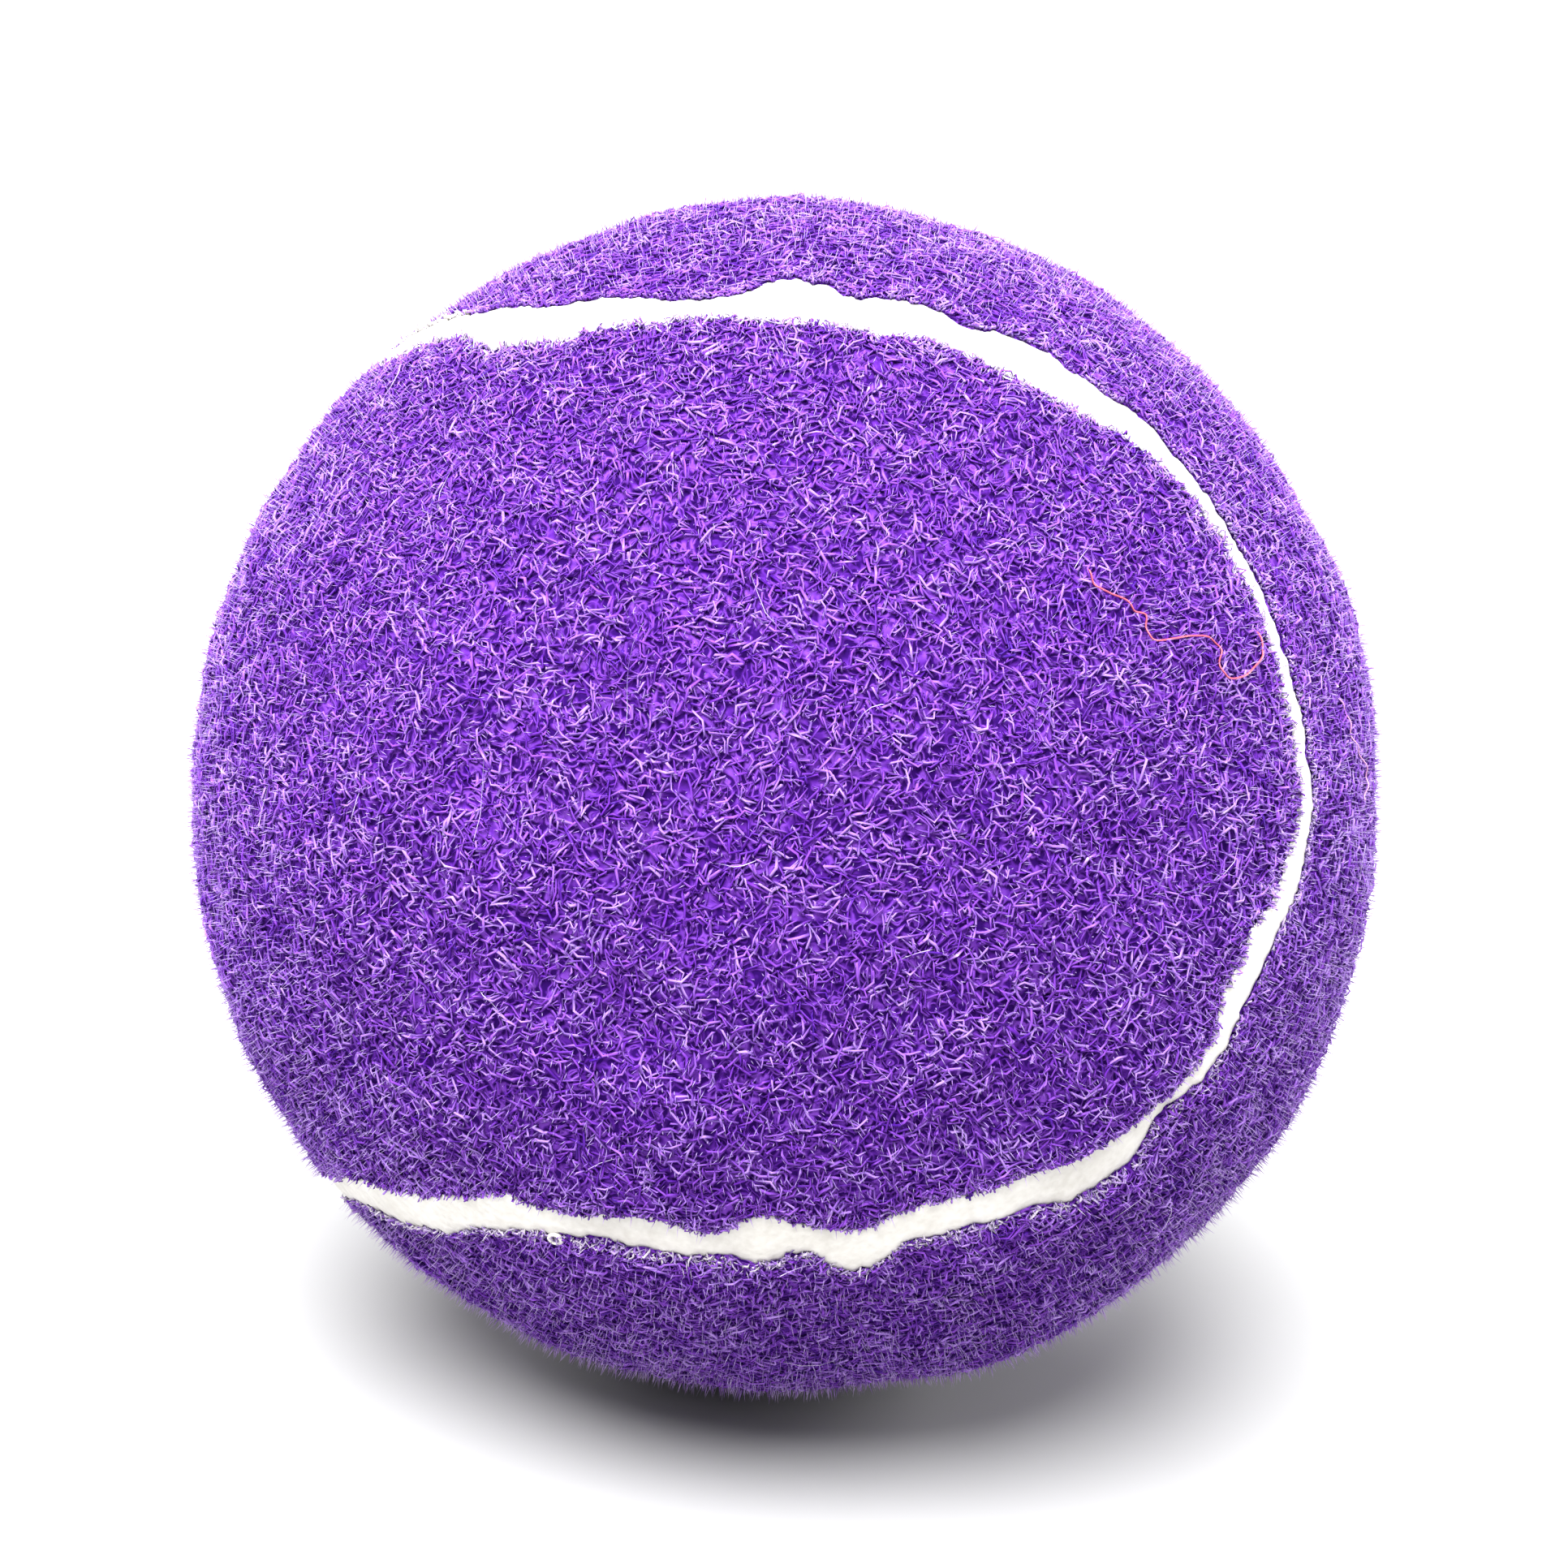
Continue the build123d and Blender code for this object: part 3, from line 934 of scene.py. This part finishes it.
# Stray threads caught in the nap: longitudes from the front towards +X, and latitudes, in degrees
strayThreads = {
    "red": {
        "side": "a", "radius": 0.050 * mm, "ride": 0.03 * mm, "wave": 0.08 * mm,
        "steps": 90, "waveStep": 0.8,
        "route": (
            (24.1, 35.0), (24.4, 33.8), (25.2, 33.0), (27.6, 32.2), (28.5, 31.1), (29.7, 30.6), (29.6, 29.4),
            (30.0, 28.4), (32.7, 28.3), (35.4, 28.4), (37.5, 28.0), (38.7, 27.1), (38.2, 25.9), (38.3, 24.8),
            (39.8, 24.2), (42.2, 24.5), (44.3, 25.4), (45.5, 26.4), (44.9, 28.0),
        ),
    },
    "pink": {
        "side": "b", "radius": 0.045 * mm, "ride": 0.02 * mm, "wave": 0.08 * mm,
        "steps": 40, "waveStep": 0.8,
        "route": (
            (58.1, 20.0), (59.8, 18.2), (60.0, 16.3), (61.5, 14.5), (63.4, 12.4), (63.2, 10.9), (61.9, 9.7),
        ),
    },
}


# Smooth line through given points: cubics whose slope at a point follows the points before and after it
def throughPoints(points, steps):
    padded = np.concatenate([2 * points[:1] - points[1:2], points, 2 * points[-1:] - points[-2:-1]])
    travelled = np.linspace(0, len(points) - 1, steps)
    index = np.minimum(travelled.astype(int), len(points) - 2)
    share = (travelled - index)[:, None]
    before, start, end, after = (padded[index + k] for k in range(4))
    curve = 2 * before - 5 * start + 4 * end - after + share * (3 * (start - end) + after - before)
    return start + 0.5 * share * (end - before + share * curve)


# Thread: the smooth line laid on the ball, just clear of the nap and waving a little in height
def strayThread(name):
    form = strayThreads[name]
    longitude, latitude = np.radians(throughPoints(np.array(form["route"]), form["steps"])).T
    flat = np.cos(latitude)
    directions = np.stack([flat * np.sin(longitude), -flat * np.cos(longitude), np.sin(latitude)], axis=-1)
    waves = np.sin(np.linspace(0, form["waveStep"] * form["steps"], form["steps"]))
    height = form["ride"] + form["wave"] * waves
    path = directions * (ball["radius"] + height)[:, None]
    points, faceSets = napTubes(path[None], form["radius"])
    piece = makePiece(name + "_thread", points, faceSets, threadMaterial(name))
    napPieces[form["side"]].append(piece)


for name in strayThreads:
    strayThread(name)

print("felt and nap made")

# Floor, light and camera
stage = {
    "floorRadii": (0.05, 0.4, 1.5, 6.0),
    "floorSides": 96,
    "floorColour": (0.34, 0.34, 0.34, 1),
    "floorRoughness": 0.9,
    "worldStrength": 0.55,
    "key": {"azimuth": -24.0, "elevation": 61.0, "softness": 50.0, "strength": 13.6},
    "softboxes": (  # place, size across, power
        ((-1.1, 0.75, 0.50), 0.9, 14.0),
        ((1.2, 0.55, 0.30), 0.9, 24.0),
        ((0.0, 1.1, 1.3), 1.0, 14.0),
    ),
}


# Floor disc: rings of points about the spot under the ball
def floorDisc():
    radii, sides = stage["floorRadii"], stage["floorSides"]
    column = np.arange(sides)
    angle = column * (2 * math.pi / sides)
    rings = np.stack([np.outer(radii, np.cos(angle)), np.outer(radii, np.sin(angle))], axis=-1)
    points = np.concatenate([rings.reshape(-1, 2), np.zeros((1, 2))])
    points = np.c_[points, np.full(len(points), -ball["radius"])]
    middle = np.full(sides, len(points) - 1)
    fan = np.stack([middle, column, (column + 1) % sides], axis=-1)
    return points, [fan, gridQuads(len(radii), sides)[:, ::-1]]


# Plain pale floor
def makeFloor():
    points, faceSets = floorDisc()
    mesh = bpy.data.meshes.new("floor")
    mesh.from_pydata(points.tolist(), [], [face for faces in faceSets for face in faces.tolist()])
    floor = bpy.data.objects.new("floor", mesh)
    bpy.context.scene.collection.objects.link(floor)
    material, _, shader = newMaterial("paleFloor")
    shader.inputs["Base Color"].default_value = stage["floorColour"]
    shader.inputs["Roughness"].default_value = stage["floorRoughness"]
    mesh.materials.append(material)


# White surroundings, a broad key light from above the front, and softboxes that face the ball
def makeLights():
    world = bpy.data.worlds.new("studio")
    world.use_nodes = True
    background = world.node_tree.nodes["Background"]
    background.inputs["Color"].default_value = (1, 1, 1, 1)
    background.inputs["Strength"].default_value = stage["worldStrength"]
    bpy.context.scene.world = world
    key = stage["key"]
    data = bpy.data.lights.new("key", "SUN")
    data.angle = math.radians(key["softness"])
    data.energy = key["strength"]
    lamp = bpy.data.objects.new("key", data)
    lamp.rotation_euler = (math.radians(90 - key["elevation"]), 0, math.radians(key["azimuth"]))
    bpy.context.scene.collection.objects.link(lamp)
    for place, size, power in stage["softboxes"]:
        data = bpy.data.lights.new("softbox", "AREA")
        data.shape = "DISK"
        data.size = size
        data.energy = power
        lamp = bpy.data.objects.new("softbox", data)
        lamp.location = place
        lamp.rotation_euler = (-Vector(place)).to_track_quat("-Z", "Y").to_euler()
        bpy.context.scene.collection.objects.link(lamp)


view = {
    "azimuth": math.radians(-6.3), "elevation": math.radians(15.0), "roll": math.radians(-4.7),
    "distance": 6.30,  # in ball radii
    "ballPixels": 737.0, "imagePixels": 1932.0,  # the ball's radius and the image's width
    "centrePixel": (968.2, 982.1),  # the ball's centre in that image, from the top left
    "sensorWidth": 36.0,
    "clipStart": 0.01,
}


# Camera: on a sphere about the ball, leaning by the roll, with the lens that gives the ball its size
def makeCamera():
    azimuth, elevation, roll = view["azimuth"], view["elevation"], view["roll"]
    level = math.cos(elevation)
    back = Vector((math.sin(azimuth) * level, -math.cos(azimuth) * level, math.sin(elevation)))
    upright = (Vector((0, 0, 1)) - back * back.z).normalized()
    right = upright.cross(back)
    up = upright * math.cos(roll) + right * math.sin(roll)
    data = bpy.data.cameras.new("camera")
    data.sensor_width = view["sensorWidth"]
    focal = view["ballPixels"] * math.sqrt(view["distance"] ** 2 - 1)
    data.lens = data.sensor_width * focal / view["imagePixels"]
    data.shift_x = (view["imagePixels"] / 2 - view["centrePixel"][0]) / view["imagePixels"]
    data.shift_y = (view["centrePixel"][1] - view["imagePixels"] / 2) / view["imagePixels"]
    data.clip_start = view["clipStart"]
    camera = bpy.data.objects.new("camera", data)
    camera.matrix_world = Matrix((up.cross(back), up, back)).transposed().to_4x4()
    camera.location = back * view["distance"] * ball["radius"]
    bpy.context.scene.collection.objects.link(camera)
    bpy.context.scene.camera = camera


makeFloor()
makeLights()
makeCamera()
bpy.context.scene.view_settings.view_transform = "Standard"
print("stage set")
